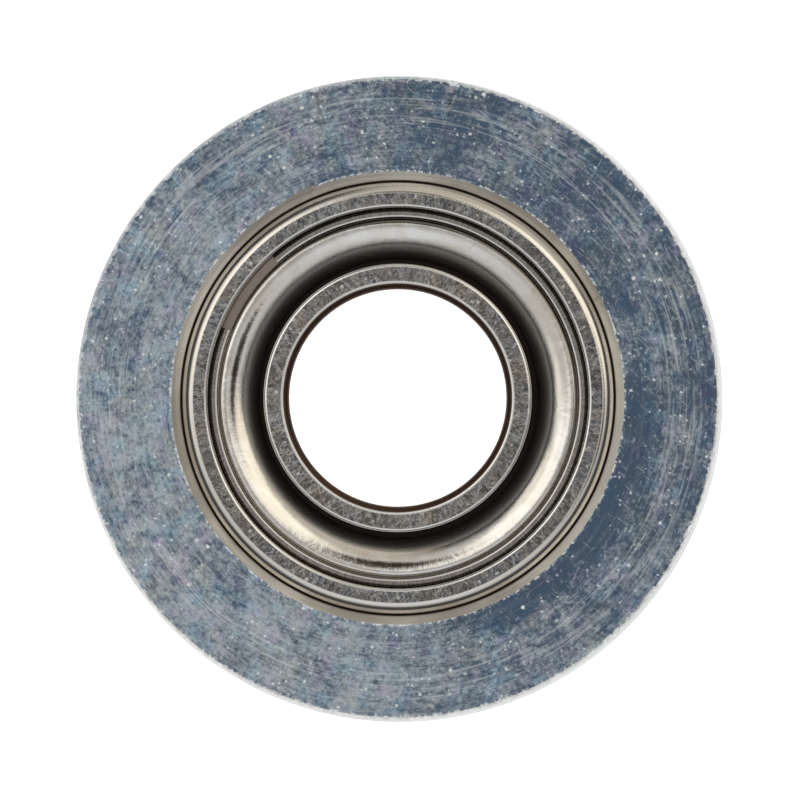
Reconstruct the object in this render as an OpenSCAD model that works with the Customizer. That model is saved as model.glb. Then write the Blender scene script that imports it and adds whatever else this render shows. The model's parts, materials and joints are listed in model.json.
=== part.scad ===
// Cam follower roller: an aluminium ring pressed over a shielded deep-groove ball bearing.
// The axis of rotation is +Z, and the back faces of the ring and of the bearing lie on z = 0.
// The inner ring stays still on its stud, and everything outside the balls turns round it.

/* [Roller ring] */
// Outside diameter of the aluminium ring at the middle of its crowned rim
roller_d = 24; // [18.5:0.1:60]
// Radius lost between the middle of the rim and its edge chamfers
crown_drop = 0.15; // [0.02:0.01:0.4]
// Leg of the chamfer where the rim meets each face
rim_chamfer = 0.1; // [0.05:0.01:0.5]
// Leg of the lead-in chamfer at each end of the bearing seat
seat_chamfer = 0.35; // [0.1:0.01:0.8]

/* [Bearing] */
// Bore of the inner ring, which takes the stud
bore_d = 8; // [6:0.1:9.6]
// Outside diameter of the bearing, which is also the seat in the aluminium ring
bearing_d = 16; // [14.5:0.1:20]
// Width of the bearing and of the aluminium ring
bearing_w = 5; // [4.1:0.1:9]
// Corner radius at both ends of the bore
bore_corner = 0.25; // [0.05:0.01:0.35]
// Corner radius at both ends of the outside diameter
outer_corner = 0.47; // [0.05:0.01:0.5]
// Radial width of the inner ring's end faces
inner_land_w = 0.95; // [0.6:0.01:1]
// Corner radius on the outside of the inner ring's end faces
inner_land_corner = 0.1; // [0.02:0.01:0.2]
// Depth from each face at which the inner ring steps up to its raceway shoulder
inner_step_depth = 1.15; // [1.1:0.01:1.3]

/* [Balls and raceways] */
// Diameter of each ball
ball_d = 2; // [1.6:0.1:2.4]
// Radial clearance between a ball and each raceway
race_clearance = 0.012; // [0.01:0.001:0.03]
// Extra radius of the raceway grooves over the ball's own
groove_relief = 0.04; // [0.02:0.01:0.1]
// Height of the raceway shoulders above the bottom of the groove
shoulder_h = 0.25; // [0.1:0.01:0.4]

/* [Cage] */
// Sheet thickness of the two ribbon cage halves
cage_t = 0.18; // [0.1:0.01:0.25]
// Radial width of the ribbon
cage_w = 1.1; // [0.8:0.01:1.3]
// Clearance between a ball and its pocket
pocket_clearance = 0.06; // [0.03:0.01:0.12]
// Diameter of the rivets that join the two halves
rivet_d = 0.4; // [0.3:0.01:0.5]
// Diameter of the rivet heads
rivet_head_d = 0.7; // [0.55:0.01:0.75]
// Height of the rivet heads
rivet_head_h = 0.12; // [0.05:0.01:0.2]

/* [Shields] */
// Radial width of the shoulder in the outer ring that each shield rests on
recess_shoulder_w = 0.26; // [0.13:0.01:0.54]
// Depth of the shoulder in the outer ring that each shield rests on
recess_depth = 1; // [0.9:0.01:1.05]
// Break of the sharp edge round the recess
recess_break = 0.08; // [0.02:0.01:0.1]
// Sheet thickness of the shields
shield_t = 0.15; // [0.1:0.01:0.2]
// Clearance between the rim of a shield and the wall of its recess
shield_fit = 0.03; // [0.01:0.01:0.06]
// Clearance between a shield's upstand and the snap ring that holds its flange
upstand_gap = 0.04; // [0.02:0.01:0.2]
// Inside radius of the bend between a shield's upstand and its crown
shield_bend_inside_r = 0.05; // [0.02:0.01:0.25]
// Depth of the shield's crown below the bearing's face
crown_depth = 0.25; // [0.15:0.01:0.3]
// Fall of the shield from its crown to its inner edge
shield_drop = 0.62; // [0.3:0.01:0.65]
// Radial gap between a shield's inner edge and the inner ring
shield_gap = 0.22; // [0.1:0.01:0.35]

/* [Snap rings] */
// Radial width of a snap ring's flat face, inside its bevel
snap_face_w = 0.21; // [0.15:0.01:0.35]
// Thickness of a snap ring
snap_t = 0.3; // [0.2:0.01:0.4]
// Height of a snap ring's rim, below its bevel
snap_rim_h = 0.1; // [0.05:0.01:0.15]
// Depth of the groove round the recess that holds a snap ring
snap_groove = 0.12; // [0.05:0.01:0.2]
// Clearance between a snap ring and its groove
snap_fit = 0.02; // [0.01:0.01:0.05]
// Gap between the face of a snap ring and the wall of the recess
snap_face_gap = 0.13; // [0.05:0.01:0.2]
// Break of the sharp edge on the inside of a snap ring's face
snap_break = 0.03; // [0.01:0.01:0.05]
// Angle that the gap in a snap ring spans, in degrees
snap_gap = 26.5; // [10:0.5:60]
// Angle from +X to the middle of the front snap ring's gap, in degrees
snap_front_angle = 144.75; // [0:0.25:360]
// Angle from +X to the middle of the rear snap ring's gap, in degrees
snap_rear_angle = 40; // [0:1:360]

/* [Hidden] */
$fn = 96;
ball_count = 10;
crown_steps = 12;
arc_steps = 8;
over = 1;

mid_z = bearing_w / 2;
roller_r = roller_d / 2;
rim_edge_r = roller_r - crown_drop;
bore_r = bore_d / 2;
bearing_r = bearing_d / 2;
ball_r = ball_d / 2;
pitch_r = (bore_r + bearing_r) / 2;
groove_r = ball_r + groove_relief;
race_reach = ball_r + race_clearance;
pocket_r = ball_r + pocket_clearance;

inner_land_r = bore_r + inner_land_w;
inner_shoulder_r = pitch_r - race_reach + shoulder_h;
outer_shoulder_r = pitch_r + race_reach - shoulder_h;
recess_r = outer_shoulder_r + recess_shoulder_w;

snap_groove_r = recess_r + snap_groove;
snap_r = snap_groove_r - snap_fit;
snap_face_r = recess_r - snap_face_gap;
snap_inner_r = snap_face_r - snap_face_w;

flange_top = shield_t - recess_depth;
shield_r = recess_r - shield_fit;
upstand_r = snap_inner_r - upstand_gap;
shield_bend_r = shield_bend_inside_r + shield_t;
shield_top_r = upstand_r - shield_bend_r;
shield_edge_r = inner_land_r + shield_gap;
dome_span = shield_top_r - shield_edge_r;
dome_r = (dome_span * dome_span + shield_drop * shield_drop) / (2 * shield_drop);
dome_angle = 2 * atan(shield_drop / dome_span);

snap_top = flange_top + snap_t;
bevel_slope = (snap_t - snap_rim_h) / (snap_r - snap_face_r);

function ball_name(i) = str(i < 10 ? "ball_0" : "ball_", i);
function ball_angle(i) = (i - 1) * 360 / ball_count;
function arc_points(centre, radius, from, to, steps) =
    [for (i = [0:steps])
        let (a = from + (to - from) * i / steps)
        centre + radius * [cos(a), sin(a)]];

BALLS = [for (i = [1:ball_count]) ball_name(i)];

// A shape drawn with the bearing's face at z = 0, moved to the front or to the rear face
module at_front() {
    translate([0, 0, bearing_w]) children();
}

module at_rear() {
    mirror([0, 0, 1]) children();
}

// A section drawn from the lower face up, with its mirror image at the upper face
module both_faces() {
    children();
    translate([0, bearing_w]) mirror([0, 1]) children();
}

// What a rounded corner takes off: everything past a quarter circle of radius r at the origin
module corner_cut(r) {
    difference() {
        square(r + over);
        circle(r);
    }
}

// Aluminium ring, turned from bar: crowned rim, flat faces and a chamfered seat
module roller_ring() {
    half_crown = mid_z - rim_chamfer;
    rim = [for (i = [0:crown_steps])
        let (t = 2 * i / crown_steps - 1)
        [roller_r - crown_drop * t * t, mid_z + half_crown * t]];
    color([0.60, 0.65, 0.70])
    rotate_extrude()
    polygon(concat(
        [[bearing_r, seat_chamfer], [bearing_r + seat_chamfer, 0], [rim_edge_r - rim_chamfer, 0]],
        rim,
        [[rim_edge_r - rim_chamfer, bearing_w], [bearing_r + seat_chamfer, bearing_w]],
        [[bearing_r, bearing_w - seat_chamfer]]
    ));
}

// The recess for a shield in one end of the outer ring, with the groove for its snap ring
module shield_recess() {
    bevel_foot = flange_top + snap_rim_h + snap_fit;
    bevel_top = bevel_foot + (snap_groove_r - recess_r) * bevel_slope;
    polygon([
        [outer_shoulder_r - over, over],
        [recess_r + recess_break, over],
        [recess_r + recess_break, 0],
        [recess_r, -recess_break],
        [recess_r, bevel_top],
        [snap_groove_r, bevel_foot],
        [snap_groove_r, flange_top],
        [recess_r, flange_top],
        [recess_r, -recess_depth],
        [outer_shoulder_r - over, -recess_depth]
    ]);
}

// Outer ring of hardened steel, ground all over, with a raceway groove in its middle
module outer_ring() {
    color([0.62, 0.60, 0.57])
    rotate_extrude()
    difference() {
        translate([outer_shoulder_r, 0])
            square([bearing_r - outer_shoulder_r, bearing_w]);
        translate([pitch_r + race_reach - groove_r, mid_z]) circle(groove_r);
        both_faces() mirror([0, 1]) shield_recess();
        both_faces()
            translate([bearing_r - outer_corner, outer_corner])
            mirror([0, 1])
            corner_cut(outer_corner);
    }
}

// Inner ring: narrow end faces, and a raised shoulder each side of its raceway groove
module inner_ring() {
    color([0.60, 0.58, 0.55])
    rotate_extrude()
    difference() {
        union() {
            translate([bore_r, 0]) square([inner_land_w, bearing_w]);
            translate([bore_r, inner_step_depth])
                square([inner_shoulder_r - bore_r, bearing_w - 2 * inner_step_depth]);
        }
        translate([pitch_r - race_reach + groove_r, mid_z]) circle(groove_r);
        both_faces()
            translate([bore_r + bore_corner, bore_corner])
            rotate(180)
            corner_cut(bore_corner);
        both_faces()
            translate([inner_land_r - inner_land_corner, inner_land_corner])
            mirror([0, 1])
            corner_cut(inner_land_corner);
    }
}

// Something at the place of one ball, and something at the place of every ball
module ball_place(i) {
    rotate([0, 0, ball_angle(i)])
    translate([pitch_r, 0, mid_z])
    children();
}

module ball_places() {
    for (i = [1:ball_count]) ball_place(i) children();
}

// One hardened steel ball
module ball(i) {
    color([0.80, 0.81, 0.83])
    ball_place(i)
    sphere(ball_r);
}

// Something at the place of every rivet, halfway between two balls
module rivet_places() {
    for (i = [1:ball_count]) ball_place(i + 0.5) children();
}

// The ribbon's whole ring from the middle plane up, as wide as the sheet it is pressed from
module ribbon_band(height) {
    rotate_extrude()
    translate([pitch_r - cage_w / 2, mid_z])
    square([cage_w, height]);
}

// Round bar across the ribbon at the place of every ball, along the line from the roller's axis
module pocket_bars(r) {
    ball_places()
    rotate([0, 90, 0])
    cylinder(h = cage_w + over, r = r, center = true);
}

// Pressed half of the ribbon cage: flats between the balls and an arched pocket over each
module cage_half() {
    color([0.66, 0.62, 0.52])
    difference() {
        union() {
            ribbon_band(cage_t);
            intersection() {
                pocket_bars(pocket_r + cage_t);
                ribbon_band(ball_r + over);
            }
        }
        pocket_bars(pocket_r);
        rivet_places() cylinder(h = 2 * cage_t + over, d = rivet_d, center = true);
    }
}

module cage_front() {
    cage_half();
}

module cage_rear() {
    translate([0, 0, bearing_w]) mirror([0, 0, 1]) cage_half();
}

// Rivets through the flats of both halves, headed on both sides
module cage_rivets() {
    color([0.72, 0.68, 0.60])
    rivet_places() {
        cylinder(h = 2 * cage_t, d = rivet_d, center = true);
        for (side = [0, 1])
            mirror([0, 0, side])
            translate([0, 0, cage_t])
            cylinder(h = rivet_head_h, d1 = rivet_head_d, d2 = rivet_d);
    }
}

// Shield pressed from thin sheet: flat flange, upstand, and a crown that falls inwards
module shield() {
    bend_centre = [shield_top_r, -crown_depth - shield_bend_r];
    dome_centre = [shield_top_r, -crown_depth - dome_r];
    lip = 90 + dome_angle;
    color([0.72, 0.71, 0.68])
    rotate_extrude()
    polygon(concat(
        [[shield_r, -recess_depth], [shield_r, flange_top], [upstand_r, flange_top]],
        arc_points(bend_centre, shield_bend_r, 0, 90, arc_steps),
        arc_points(dome_centre, dome_r, 90 + dome_angle / arc_steps, lip, arc_steps - 1),
        arc_points(dome_centre, dome_r - shield_t, lip, 90, arc_steps),
        arc_points(bend_centre, shield_bend_inside_r, 90 - 90 / arc_steps, 0, arc_steps - 1),
        [[upstand_r - shield_t, -recess_depth]]
    ));
}

module shield_front() {
    at_front() shield();
}

module shield_rear() {
    at_rear() shield();
}

// Open snap ring with a bevelled rim, sprung into the groove over a shield's flange
module snap_ring(gap_angle) {
    color([0.63, 0.61, 0.58])
    rotate([0, 0, gap_angle + snap_gap / 2])
    rotate_extrude(angle = 360 - snap_gap)
    polygon([
        [snap_inner_r, flange_top],
        [snap_r, flange_top],
        [snap_r, flange_top + snap_rim_h],
        [snap_face_r, snap_top],
        [snap_inner_r + snap_break, snap_top],
        [snap_inner_r, snap_top - snap_break]
    ]);
}

module snap_ring_front() {
    at_front() snap_ring(snap_front_angle);
}

module snap_ring_rear() {
    at_rear() snap_ring(snap_rear_angle);
}

roller_ring();
outer_ring();
inner_ring();
for (i = [1:ball_count])
    ball(i);
cage_front();
cage_rear();
cage_rivets();
shield_front();
shield_rear();
snap_ring_front();
snap_ring_rear();
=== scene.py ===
# Cam follower roller: an aluminium ring pressed over a shielded ball bearing, lying on its back.
# The sections follow the roller as it is put together, from the bearing's rings outwards.
import json
import math
import bpy
import bmesh
from mathutils import Matrix, Vector


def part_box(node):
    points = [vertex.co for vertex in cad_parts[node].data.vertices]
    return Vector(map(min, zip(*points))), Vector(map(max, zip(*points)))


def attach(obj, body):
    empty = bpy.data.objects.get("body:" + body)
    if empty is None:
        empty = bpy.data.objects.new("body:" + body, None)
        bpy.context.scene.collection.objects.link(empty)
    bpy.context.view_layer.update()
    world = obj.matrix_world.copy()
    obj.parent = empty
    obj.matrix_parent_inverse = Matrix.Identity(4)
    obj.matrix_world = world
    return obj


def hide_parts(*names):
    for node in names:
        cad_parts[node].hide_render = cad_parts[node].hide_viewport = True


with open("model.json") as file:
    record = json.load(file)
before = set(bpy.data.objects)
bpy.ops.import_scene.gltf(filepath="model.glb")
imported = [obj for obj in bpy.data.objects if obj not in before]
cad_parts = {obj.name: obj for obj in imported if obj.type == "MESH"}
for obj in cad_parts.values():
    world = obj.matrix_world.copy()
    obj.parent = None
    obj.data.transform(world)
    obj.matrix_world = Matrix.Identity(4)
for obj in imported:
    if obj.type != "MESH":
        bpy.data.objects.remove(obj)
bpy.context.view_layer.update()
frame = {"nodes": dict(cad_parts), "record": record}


# ---- Inner ring -------------------------------------------------------------------------------
# The ring that is clamped on the stud: bearing steel, hardened, with ground end faces that keep
# the fine crossing scratches of the grinding. Both bore corners are rounded and dark with scale,
# inside a thin polished edge.

MM = 0.001
bore = next(m for m in frame["record"]["mounts"] if m["name"] == "bore")
bore_r = bore["dims"]["r_mm"] * MM
bearing_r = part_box("outer_ring")[1].x
back_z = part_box("outer_ring")[0].z
front_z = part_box("outer_ring")[1].z
mid_z = (back_z + front_z) / 2
pitch_r = (bore_r + bearing_r) / 2


def node(tree, kind, values=None, **settings):
    """One node. A value that is a socket is linked to the input, and any other is set on it."""
    made = tree.nodes.new(kind)
    for key, value in settings.items():
        setattr(made, key, value)
    for key, value in (values or {}).items():
        if isinstance(value, bpy.types.NodeSocket):
            tree.links.new(value, made.inputs[key])
        else:
            made.inputs[key].default_value = value
    return made


def maths(tree, operation, *values, clamp=False):
    """The result of a Math node on sockets or numbers."""
    made = node(tree, "ShaderNodeMath", dict(enumerate(values)), operation=operation)
    made.use_clamp = clamp
    return made.outputs[0]


def vectors(tree, operation, *values, scale=None):
    """The result of a Vector Math node: a number from LENGTH or DOT_PRODUCT, or else a vector."""
    inputs = dict(enumerate(values))
    if scale is not None:
        inputs["Scale"] = scale
    made = node(tree, "ShaderNodeVectorMath", inputs, operation=operation)
    return made.outputs["Value" if operation in ("LENGTH", "DOT_PRODUCT") else "Vector"]


def place_on(tree):
    """The place of a point on a piece, in metres."""
    return node(tree, "ShaderNodeTexCoord").outputs["Object"]


def level_of(tree, place):
    """A place brought to the origin's height, so that only its place round the axis counts."""
    return vectors(tree, "MULTIPLY", place, (1.0, 1.0, 0.0))


def outward_of(tree, place):
    """The direction from the roller's axis out to a place."""
    return vectors(tree, "NORMALIZE", level_of(tree, place))


def smooth_step(tree, value, low, high, low_out=0.0, high_out=1.0):
    """A value brought smoothly from one range into another."""
    values = {"Value": value, "From Min": low, "From Max": high, "To Min": low_out, "To Max": high_out}
    return node(tree, "ShaderNodeMapRange", values, interpolation_type="SMOOTHSTEP").outputs[0]


def mix(tree, factor, a, b, blend="MIX"):
    """Two colours mixed by a factor."""
    made = node(tree, "ShaderNodeMix", data_type="RGBA", blend_type=blend)
    for index, value in ((0, factor), (6, a), (7, b)):
        if isinstance(value, bpy.types.NodeSocket):
            tree.links.new(value, made.inputs[index])
        else:
            made.inputs[index].default_value = value
    return made.outputs[2]


def group_with(name, kind, inputs, outputs):
    """A node group with named sockets, and its two end nodes."""
    tree = bpy.data.node_groups.new(name, kind)
    for label, socket, default in inputs:
        made = tree.interface.new_socket(name=label, in_out="INPUT", socket_type=socket)
        if default is not None:
            made.default_value = default
    for label, socket in outputs:
        tree.interface.new_socket(name=label, in_out="OUTPUT", socket_type=socket)
    return tree, tree.nodes.new("NodeGroupInput"), tree.nodes.new("NodeGroupOutput")


FLOAT = "NodeSocketFloat"
GEOMETRY = "NodeSocketGeometry"


def turning_tree():
    """Geometry nodes that carry a closed profile round the roller's axis, as turning does.

    The profile's points are (radius, height). Its "jag" and "nick" attributes say how far its
    points may stray along the radius, and how deep small knocks go, for burrs and worn edges.
    """
    tree, start, end = group_with(
        "turned_ring", "GeometryNodeTree",
        [
            ("Profile", GEOMETRY, None),
            ("Segments", "NodeSocketInt", 360),
            ("Path Radius", FLOAT, 0.006),
            ("Closed", "NodeSocketBool", True),
            ("Start Angle", FLOAT, 0.0),
            ("Sweep Angle", FLOAT, 6.0),
            ("Jag Fineness", FLOAT, 60.0),
            ("Nick Scale", FLOAT, 900.0),
            ("Seed", FLOAT, 0.0),
            ("Material", "NodeSocketMaterial", None),
        ],
        [("Geometry", GEOMETRY)],
    )
    sizes = start.outputs
    place = node(tree, "ShaderNodeSeparateXYZ", {0: node(tree, "GeometryNodeInputPosition").outputs[0]})
    across = maths(tree, "SUBTRACT", place.outputs[0], sizes["Path Radius"])
    flat = node(tree, "ShaderNodeCombineXYZ", {0: across, 1: maths(tree, "MULTIPLY", place.outputs[1], -1.0)})
    drawn = node(tree, "GeometryNodeSetPosition", {"Geometry": sizes["Profile"], "Position": flat.outputs[0]})
    profile = node(tree, "GeometryNodeMeshToCurve", {0: drawn.outputs[0]})
    circle = node(tree, "GeometryNodeCurvePrimitiveCircle",
                  {"Resolution": sizes["Segments"], "Radius": sizes["Path Radius"]})
    arc = node(tree, "GeometryNodeCurveArc",
               {"Resolution": sizes["Segments"], "Radius": sizes["Path Radius"],
                "Start Angle": sizes["Start Angle"], "Sweep Angle": sizes["Sweep Angle"]})
    path = node(tree, "GeometryNodeSwitch",
                {"Switch": sizes["Closed"], "False": arc.outputs[0], "True": circle.outputs[0]},
                input_type="GEOMETRY")
    swept = node(tree, "GeometryNodeCurveToMesh",
                 {"Curve": path.outputs[0], "Profile Curve": profile.outputs[0], "Fill Caps": True})

    here = node(tree, "GeometryNodeInputPosition").outputs[0]
    outward = outward_of(tree, here)
    stretched = vectors(tree, "SCALE", outward, scale=sizes["Jag Fineness"])
    jagged = node(tree, "ShaderNodeTexNoise",
                  {"Vector": stretched, "W": sizes["Seed"], "Scale": 1.0, "Detail": 5.0,
                   "Roughness": 0.62}, noise_dimensions="4D")
    stray = maths(tree, "MULTIPLY", maths(tree, "SUBTRACT", jagged.outputs[0], 0.5), 2.0)
    jag = node(tree, "GeometryNodeInputNamedAttribute", {"Name": "jag"}, data_type="FLOAT")
    along = vectors(tree, "SCALE", outward, scale=maths(tree, "MULTIPLY", stray, jag.outputs[0]))
    knocks = node(tree, "ShaderNodeTexNoise",
                  {"Vector": here, "W": sizes["Seed"], "Scale": sizes["Nick Scale"], "Detail": 3.0},
                  noise_dimensions="4D")
    knock = smooth_step(tree, knocks.outputs[0], 0.56, 0.78)
    nick = node(tree, "GeometryNodeInputNamedAttribute", {"Name": "nick"}, data_type="FLOAT")
    facing = node(tree, "GeometryNodeInputNormal").outputs[0]
    depth = maths(tree, "MULTIPLY", maths(tree, "MULTIPLY", knock, nick.outputs[0]), -1.0)
    moved = vectors(tree, "ADD", along, vectors(tree, "SCALE", facing, scale=depth))
    worn = node(tree, "GeometryNodeSetPosition", {"Geometry": swept.outputs[0], "Offset": moved})
    whole = node(tree, "GeometryNodeRealizeInstances", {0: worn.outputs[0]})
    finished = node(tree, "GeometryNodeSetMaterial",
                    {"Geometry": whole.outputs[0], "Material": sizes["Material"]})
    tree.links.new(finished.outputs[0], end.inputs[0])
    return tree


TURNING = turning_tree()


def rounded(corners, steps=6, guard=0.03 * MM):
    """A closed outline from (radius, height, corner radius, jag, nick) corners.

    Each corner becomes an arc, with a guard point a little past each end of it, so that the
    smooth shading of the corner stops there. An arc takes up less than half of each side.
    """
    most_of_side = 0.48
    smallest_arc = 1e-7
    outline = []
    count = len(corners)
    for i, (r, z, corner_r, jag, nick) in enumerate(corners):
        here = Vector((r, z))
        before = Vector(corners[i - 1][:2])
        after = Vector(corners[(i + 1) % count][:2])
        back, on = (before - here), (after - here)
        room_back, room_on = back.length, on.length
        back.normalize()
        on.normalize()
        half = back.angle(on) / 2
        reach = min(corner_r / math.tan(half), most_of_side * room_back, most_of_side * room_on)
        arc_r = reach * math.tan(half)
        if arc_r < smallest_arc:
            outline.append((r, z, jag, nick))
            continue
        centre = here + (back + on).normalized() * (arc_r / math.sin(half))
        first, last = here + back * reach - centre, here + on * reach - centre
        if room_back > 4 * guard + 2 * reach:
            p = here + back * (reach + guard)
            outline.append((p.x, p.y, jag, nick))
        turn = first.angle_signed(last)
        for k in range(steps + 1):
            a = -turn * k / steps
            p = centre + Vector((first.x * math.cos(a) - first.y * math.sin(a),
                                 first.x * math.sin(a) + first.y * math.cos(a)))
            outline.append((p.x, p.y, jag, nick))
        if room_on > 4 * guard + 2 * reach:
            p = here + on * (reach + guard)
            outline.append((p.x, p.y, jag, nick))
    return outline


def turned(name, outline, material, segments=720, path_r=pitch_r, span=None, seed=0.0,
           jag_fineness=60.0, nick_scale=900.0):
    """A plain mesh object: the outline carried round the axis, all the way or over a span.

    The span is (first azimuth, sweep), in degrees. Edges that turn sharply are left unsmoothed.
    """
    weld_reach = 1e-8
    sharp_turn = math.radians(40)
    mesh = bpy.data.meshes.new(name + "_profile")
    count = len(outline)
    area = sum(outline[i - 1][0] * outline[i][1] - outline[i][0] * outline[i - 1][1] for i in range(count))
    if area > 0:
        outline = outline[::-1]
    mesh.from_pydata([(p[0], p[1], 0.0) for p in outline], [(i, (i + 1) % count) for i in range(count)], [])
    for key, column in (("jag", 2), ("nick", 3)):
        layer = mesh.attributes.new(key, "FLOAT", "POINT")
        for i, p in enumerate(outline):
            layer.data[i].value = p[column]
    drawing = bpy.data.objects.new(name + "_profile", mesh)
    bpy.context.scene.collection.objects.link(drawing)
    modifier = drawing.modifiers.new("turning", "NODES")
    modifier.node_group = TURNING
    values = {"Segments": segments, "Path Radius": path_r, "Closed": span is None, "Seed": seed,
              "Jag Fineness": jag_fineness, "Nick Scale": nick_scale, "Material": material}
    if span:
        values["Start Angle"], values["Sweep Angle"] = math.radians(span[0]), math.radians(span[1])
    for item in TURNING.interface.items_tree:
        if item.in_out == "INPUT" and item.name in values:
            modifier[item.identifier] = values[item.name]
    evaluated = drawing.evaluated_get(bpy.context.evaluated_depsgraph_get())
    result = bpy.data.meshes.new_from_object(evaluated)
    result.name = name
    bpy.data.objects.remove(drawing)
    bpy.data.meshes.remove(mesh)
    for key in ("jag", "nick"):
        layer = result.attributes.get(key)
        if layer:
            result.attributes.remove(layer)
    shell = bmesh.new()
    shell.from_mesh(result)
    bmesh.ops.remove_doubles(shell, verts=shell.verts, dist=weld_reach)
    bmesh.ops.recalc_face_normals(shell, faces=shell.faces)
    for face in shell.faces:
        face.smooth = True
    for edge in shell.edges:
        edge.smooth = len(edge.link_faces) == 2 and edge.calc_face_angle(0) < sharp_turn
    shell.to_mesh(result)
    shell.free()
    piece = bpy.data.objects.new(name, result)
    bpy.context.scene.collection.objects.link(piece)
    return piece


def polar_place(tree, fineness, along, seed, slant=None, height_share=1.37):
    """Coordinates for streaks on a turned face: direction times fineness, and radius times along.

    A slant turns the streaks about the axis by that many radians for each metre of radius.
    The height counts as well as the radius, so that walls carry streaks too.
    """
    place = place_on(tree)
    level = level_of(tree, place)
    height = node(tree, "ShaderNodeSeparateXYZ", {0: place}).outputs[2]
    radius = maths(tree, "ADD", vectors(tree, "LENGTH", level), maths(tree, "MULTIPLY", height, height_share))
    if slant is not None:
        level = node(tree, "ShaderNodeVectorRotate",
                     {"Vector": level, "Angle": maths(tree, "MULTIPLY", radius, slant)},
                     rotation_type="Z_AXIS").outputs[0]
    fine = vectors(tree, "SCALE", vectors(tree, "NORMALIZE", level), scale=fineness)
    rise = maths(tree, "ADD", maths(tree, "MULTIPLY", radius, along), seed)
    shift = node(tree, "ShaderNodeCombineXYZ", {2: rise}).outputs[0]
    return vectors(tree, "ADD", fine, shift)


def crossed_scratches():
    """Short grinding scratches that cross a flat ring face at two slants. Puts out a mask."""
    tree, start, end = group_with(
        "crossed_scratches", "ShaderNodeTree",
        [("Fineness", FLOAT, 220.0), ("Length", FLOAT, 900.0), ("Slant", FLOAT, 500.0), ("Seed", FLOAT, 0.0)],
        [("Scratches", FLOAT)],
    )
    sizes = start.outputs
    back_slant = maths(tree, "MULTIPLY", sizes["Slant"], -0.7)
    layers = []
    for slant, shift in ((sizes["Slant"], 0.0), (back_slant, 5.3), (0.0, 11.7)):
        seed = maths(tree, "ADD", sizes["Seed"], shift)
        place = polar_place(tree, sizes["Fineness"], sizes["Length"], seed, slant)
        noise = node(tree, "ShaderNodeTexNoise",
                     {"Vector": place, "Scale": 1.0, "Detail": 2.0, "Roughness": 0.7})
        layers.append(noise.outputs[0])
    both = maths(tree, "MAXIMUM", layers[0], layers[1])
    blended = maths(tree, "ADD", maths(tree, "MULTIPLY", both, 0.6), maths(tree, "MULTIPLY", layers[2], 0.4))
    tree.links.new(blended, end.inputs[0])
    return tree


def turning_lines():
    """Fine rings left by a cutting tool, which fade in and out round the face. Puts out a mask."""
    tree, start, end = group_with(
        "turning_lines", "ShaderNodeTree",
        [("Wander", FLOAT, 3.0), ("Pitch", FLOAT, 12000.0), ("Seed", FLOAT, 0.0)],
        [("Lines", FLOAT)],
    )
    sizes = start.outputs
    place = polar_place(tree, sizes["Wander"], sizes["Pitch"], sizes["Seed"])
    noise = node(tree, "ShaderNodeTexNoise",
                 {"Vector": place, "Scale": 1.0, "Detail": 4.0, "Roughness": 0.65})
    tree.links.new(noise.outputs[0], end.inputs[0])
    return tree


def cloudiness():
    """Soft patches where a surface is duller or stained. Puts out a mask."""
    tree, start, end = group_with(
        "cloudiness", "ShaderNodeTree",
        [("Size", FLOAT, 3.0), ("Seed", FLOAT, 0.0)],
        [("Clouds", FLOAT)],
    )
    place = place_on(tree)
    scale = maths(tree, "DIVIDE", 1 / MM, start.outputs["Size"])
    noise = node(tree, "ShaderNodeTexNoise",
                 {"Vector": place, "W": start.outputs["Seed"], "Scale": scale, "Detail": 4.0,
                  "Roughness": 0.6, "Distortion": 0.6}, noise_dimensions="4D")
    tree.links.new(noise.outputs[0], end.inputs[0])
    return tree


def flecks():
    """Small separate marks, such as dings and grit, in a share of cells. Puts out a mask.

    Each mark is bent a little by a fine noise, so that none of them is a plain round dot.
    """
    bend_fineness = 9000.0
    bend_reach = 0.12 * MM
    tree, start, end = group_with(
        "flecks", "ShaderNodeTree",
        [("Spacing", FLOAT, 0.4), ("Size", FLOAT, 0.3), ("Share", FLOAT, 0.3), ("Seed", FLOAT, 0.0)],
        [("Flecks", FLOAT)],
    )
    sizes = start.outputs
    place = place_on(tree)
    shift = node(tree, "ShaderNodeCombineXYZ", {2: sizes["Seed"]}).outputs[0]
    warp = node(tree, "ShaderNodeTexNoise", {"Vector": place, "Scale": bend_fineness, "Detail": 1.0})
    offset = vectors(tree, "SCALE", warp.outputs["Color"], scale=bend_reach)
    bent = vectors(tree, "ADD", vectors(tree, "ADD", place, offset), shift)
    scale = maths(tree, "DIVIDE", 1 / MM, sizes["Spacing"])
    cells = node(tree, "ShaderNodeTexVoronoi", {"Vector": bent, "Scale": scale})
    pick = node(tree, "ShaderNodeSeparateColor", {0: cells.outputs["Color"]})
    chosen = maths(tree, "LESS_THAN", pick.outputs[0], sizes["Share"])
    reach = maths(tree, "MULTIPLY", sizes["Size"], maths(tree, "ADD", pick.outputs[1], 0.35))
    inside = maths(tree, "DIVIDE", maths(tree, "SUBTRACT", reach, cells.outputs["Distance"]), 0.1, clamp=True)
    tree.links.new(maths(tree, "MULTIPLY", inside, chosen), end.inputs[0])
    return tree


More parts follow.
